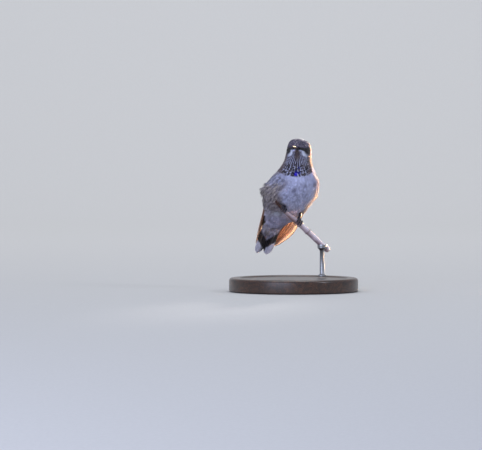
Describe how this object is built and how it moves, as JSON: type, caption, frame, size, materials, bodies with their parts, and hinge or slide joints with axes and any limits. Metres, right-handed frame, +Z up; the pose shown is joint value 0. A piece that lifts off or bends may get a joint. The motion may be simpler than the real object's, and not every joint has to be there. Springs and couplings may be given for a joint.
{
  "type": "hummingbird",
  "caption": "Life-size still model of a perched immature black-chinned hummingbird, wings folded, gripping a sloping cut flower stalk that a rod and a round base hold up",
  "frame": {"origin": "middle of the underside of the round base, on the surface that it stands on", "axes": "+Z up; -Y towards the viewer in front of the breast and bill; +X to that viewer's right, the bird's left side"},
  "size_m": [0.068, 0.068, 0.0804],
  "materials": {
    "plumage_dark": "soft dusky grey-brown feathers with a slight green gloss on the back",
    "plumage_pale": "soft pale grey feathers, dusky along the flanks, streaked on the throat",
    "flight_feather": "smooth dusky vanes, the outer tail feathers black with white tips",
    "horn": "black horn, polished",
    "eye": "glossy black-brown eye",
    "leg_skin": "scaly blackish skin",
    "dry_stalk": "weathered dry stalk, silvery tan",
    "base_wood": "dark stained hardwood, satin",
    "rod_steel": "satin steel"
  },
  "bodies": {
    "root": {"head": "plumage_dark", "neck": "plumage_pale", "trunk": "plumage_pale", "rump": "plumage_pale", "eye_left": "eye", "eye_right": "eye", "bill_upper": "horn", "bill_lower": "horn", "wing_left_coverts": "plumage_dark", "wing_left_primaries": "flight_feather", "wing_left_secondaries": "flight_feather", "wing_right_coverts": "plumage_dark", "wing_right_primaries": "flight_feather", "wing_right_secondaries": "flight_feather", "tail_left": "flight_feather", "tail_right": "flight_feather", "tail_middle": "flight_feather", "leg_left": "leg_skin", "toe_left_inner": "leg_skin", "toe_left_middle": "leg_skin", "toe_left_outer": "leg_skin", "toe_left_hind": "leg_skin", "claw_left_inner": "horn", "claw_left_middle": "horn", "claw_left_outer": "horn", "claw_left_hind": "horn", "leg_right": "leg_skin", "toe_right_inner": "leg_skin", "toe_right_middle": "leg_skin", "toe_right_outer": "leg_skin", "toe_right_hind": "leg_skin", "claw_right_inner": "horn", "claw_right_middle": "horn", "claw_right_outer": "horn", "claw_right_hind": "horn", "perch_stalk": "dry_stalk", "stand_base": "base_wood", "stand_rod": "rod_steel"}
  },
  "joints": []
}
